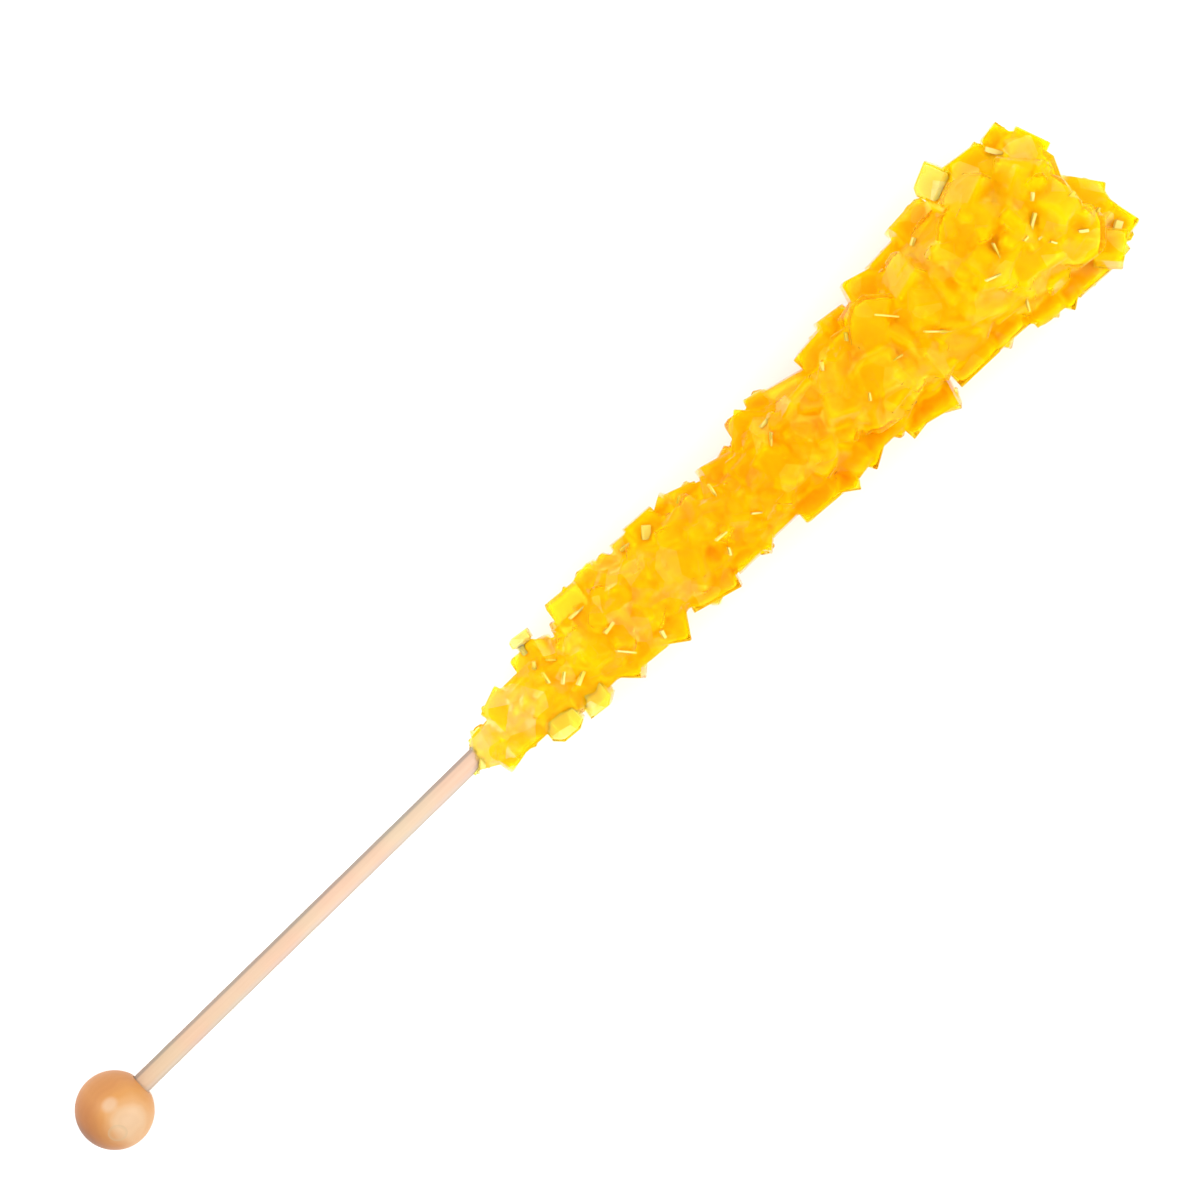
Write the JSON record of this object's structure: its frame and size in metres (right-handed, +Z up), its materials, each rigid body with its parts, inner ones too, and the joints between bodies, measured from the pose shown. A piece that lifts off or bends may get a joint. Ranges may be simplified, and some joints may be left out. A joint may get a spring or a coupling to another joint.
{
  "type": "rock candy stick",
  "caption": "Wooden stick with a turned ball at one end and a long club of clear yellow sugar crystals grown round the other, lying on its side.",
  "frame": {"origin": "middle of the bounding box's base, on the floor the stick lies on", "axes": "+X along the stick from the ball to the candy's blunt end, +Z up"},
  "size_m": [0.1654, 0.0256, 0.021],
  "materials": {
    "ball_wood": "turned and sanded, bare",
    "stick_wood": "bare dowel",
    "sugar": "clear yellow crystal with glossy flat facets"
  },
  "bodies": {
    "root": {"ball": "ball_wood", "stick": "stick_wood", "candy": "sugar"}
  },
  "joints": []
}
